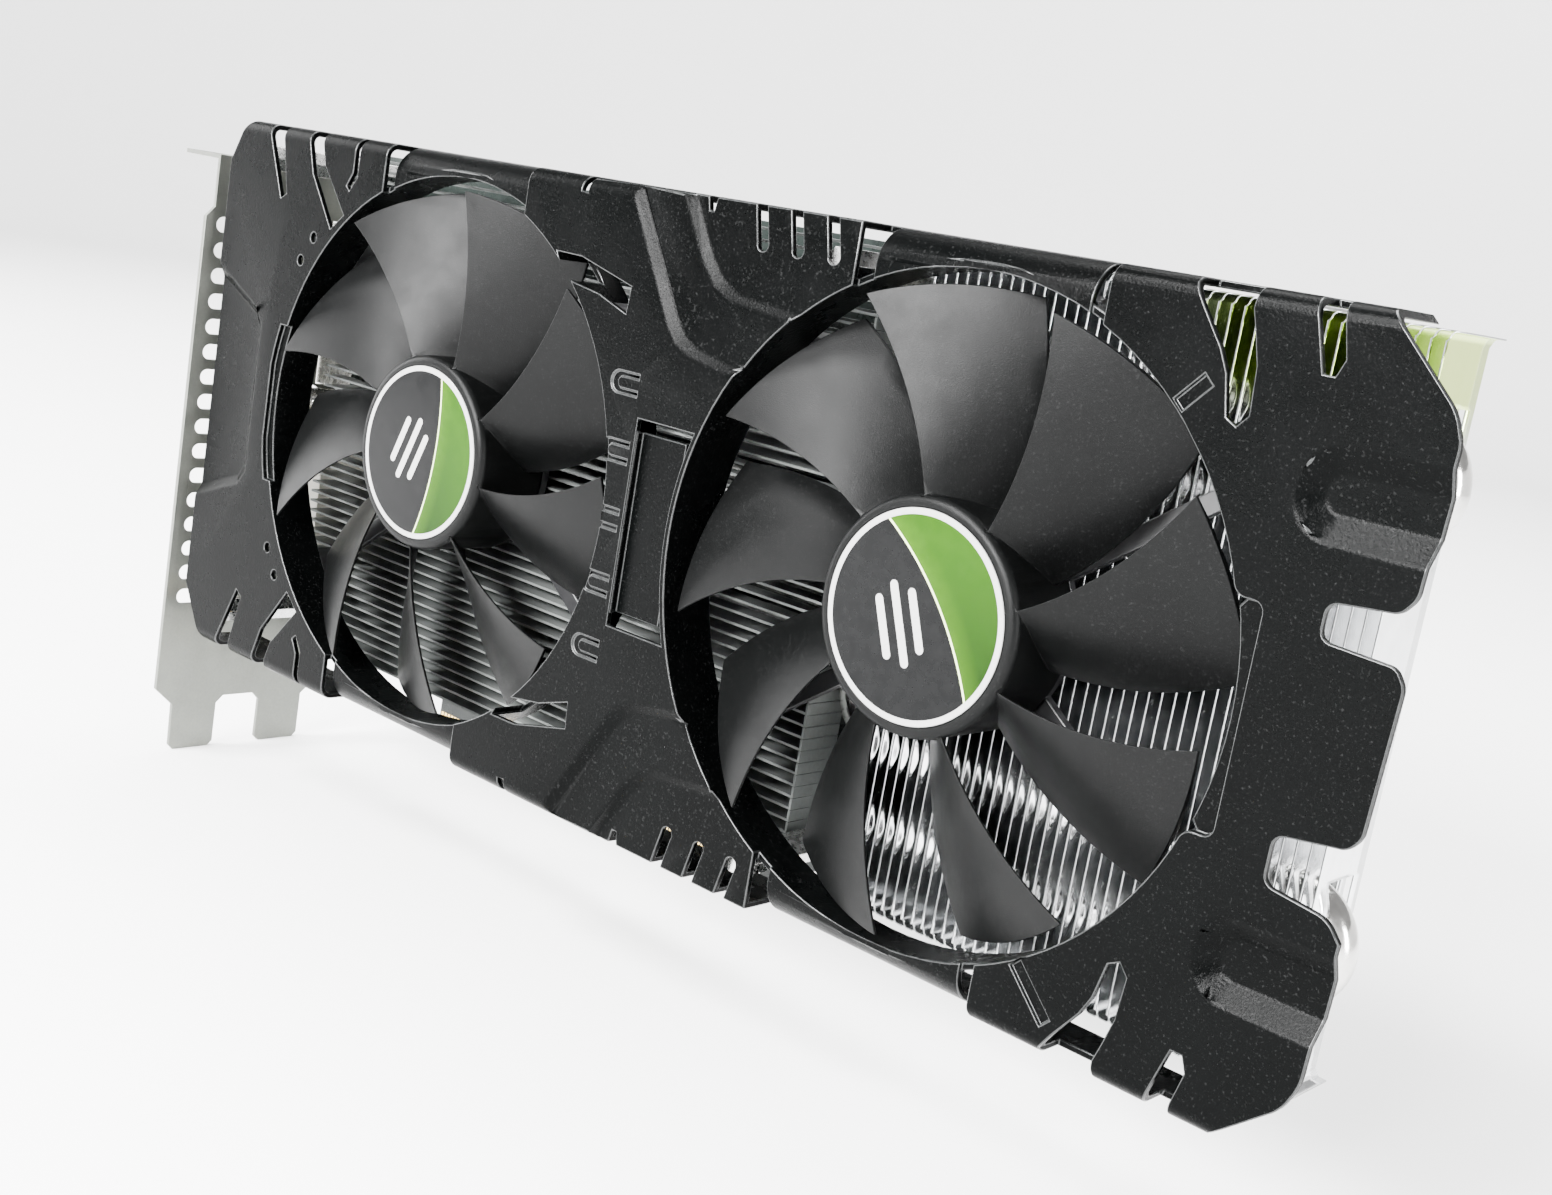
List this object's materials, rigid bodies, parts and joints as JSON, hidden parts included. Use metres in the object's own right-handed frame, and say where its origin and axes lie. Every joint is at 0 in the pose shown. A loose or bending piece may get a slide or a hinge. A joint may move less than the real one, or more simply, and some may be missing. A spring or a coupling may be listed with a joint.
{
  "type": "graphics card",
  "caption": "Dual-slot computer expansion card with a stamped metal shroud, axial cooling fans over a finned heatsink, an edge connector and a mounting bracket.",
  "frame": {"origin": "on the outer face of the mounting bracket, where the plane of the board's component face meets the level of the edge contacts' lower edge", "axes": "+X from the bracket to the tail of the card; the fans face -Y; +Z from the edge contacts to the top edge"},
  "size_m": [0.2601, 0.0439, 0.1272],
  "materials": {
    "shroud_paint": "fine-textured black powder coat",
    "fan_plastic": "fine spark-eroded texture",
    "frame_plastic": "smooth",
    "sticker": "domed clear resin over print",
    "steel": "nickel plated",
    "magnet": "bonded ferrite",
    "brass": "machined",
    "lamination": "stamped laminations",
    "copper_wire": "enamelled copper",
    "aluminium": "mill finish",
    "base_metal": "machined",
    "pipe_nickel": "nickel plated copper",
    "bracket_steel": "zinc plated sheet",
    "shell_metal": "tin plated",
    "socket_plastic": "moulded nylon",
    "board": "green solder mask",
    "gold": "hard gold plate",
    "chip_black": "epoxy moulding",
    "substrate": "laminate",
    "silicon": "polished silicon",
    "ferrite": "pressed ferrite",
    "ceramic": "ceramic with tinned ends",
    "screw_steel": "black zinc",
    "header_plastic": "ivory nylon"
  },
  "bodies": {
    "card": {"fan_frame_left": "frame_plastic", "fan_bearing_left": "brass", "fan_stator_left": "lamination", "fan_windings_left": "copper_wire", "motor_board_left": "board", "fan_frame_right": "frame_plastic", "fan_bearing_right": "brass", "fan_stator_right": "lamination", "fan_windings_right": "copper_wire", "motor_board_right": "board", "shroud": "shroud_paint", "heatsink_base": "base_metal", "heat_pipe_upper": "pipe_nickel", "heat_pipe_lower": "pipe_nickel", "fins_left": "aluminium", "fins_right": "aluminium", "bracket": "bracket_steel", "dvi_shell": "shell_metal", "dvi_body": "socket_plastic", "dvi_jackscrews": "steel", "hdmi_shell": "shell_metal", "hdmi_tongue": "socket_plastic", "displayport_shell": "shell_metal", "displayport_tongue": "socket_plastic", "circuit_board": "board", "edge_contacts": "gold", "gpu_substrate": "substrate", "gpu_die": "silicon", "memory_chips": "chip_black", "controller_chips": "chip_black", "chokes": "ferrite", "power_switches": "chip_black", "capacitor_cans": "shell_metal", "capacitor_bases": "chip_black", "ceramic_capacitors": "ceramic", "back_capacitors": "ceramic", "crystal": "shell_metal", "fan_headers": "header_plastic", "power_socket": "socket_plastic", "power_pins": "gold", "shroud_standoffs": "brass", "shroud_screws": "screw_steel", "back_cross": "screw_steel", "cross_washers": "chip_black", "cross_screws": "steel", "cross_springs": "steel", "bracket_screws": "steel"},
    "rotor_left": {"fan_rotor_left": "fan_plastic", "hub_sticker_left": "sticker", "rotor_yoke_left": "steel", "rotor_magnet_left": "magnet", "fan_shaft_left": "steel"},
    "rotor_right": {"fan_rotor_right": "fan_plastic", "hub_sticker_right": "sticker", "rotor_yoke_right": "steel", "rotor_magnet_right": "magnet", "fan_shaft_right": "steel"}
  },
  "joints": [
    {"name": "fan_spin_left", "type": "hinge", "parent": "card", "child": "rotor_left", "pos_m": [0.0743, -0.029, 0.0633], "axis": [0, -1, 0], "continuous": true},
    {"name": "fan_spin_right", "type": "hinge", "parent": "card", "child": "rotor_right", "pos_m": [0.1822, -0.029, 0.0633], "axis": [0, -1, 0], "continuous": true}
  ]
}
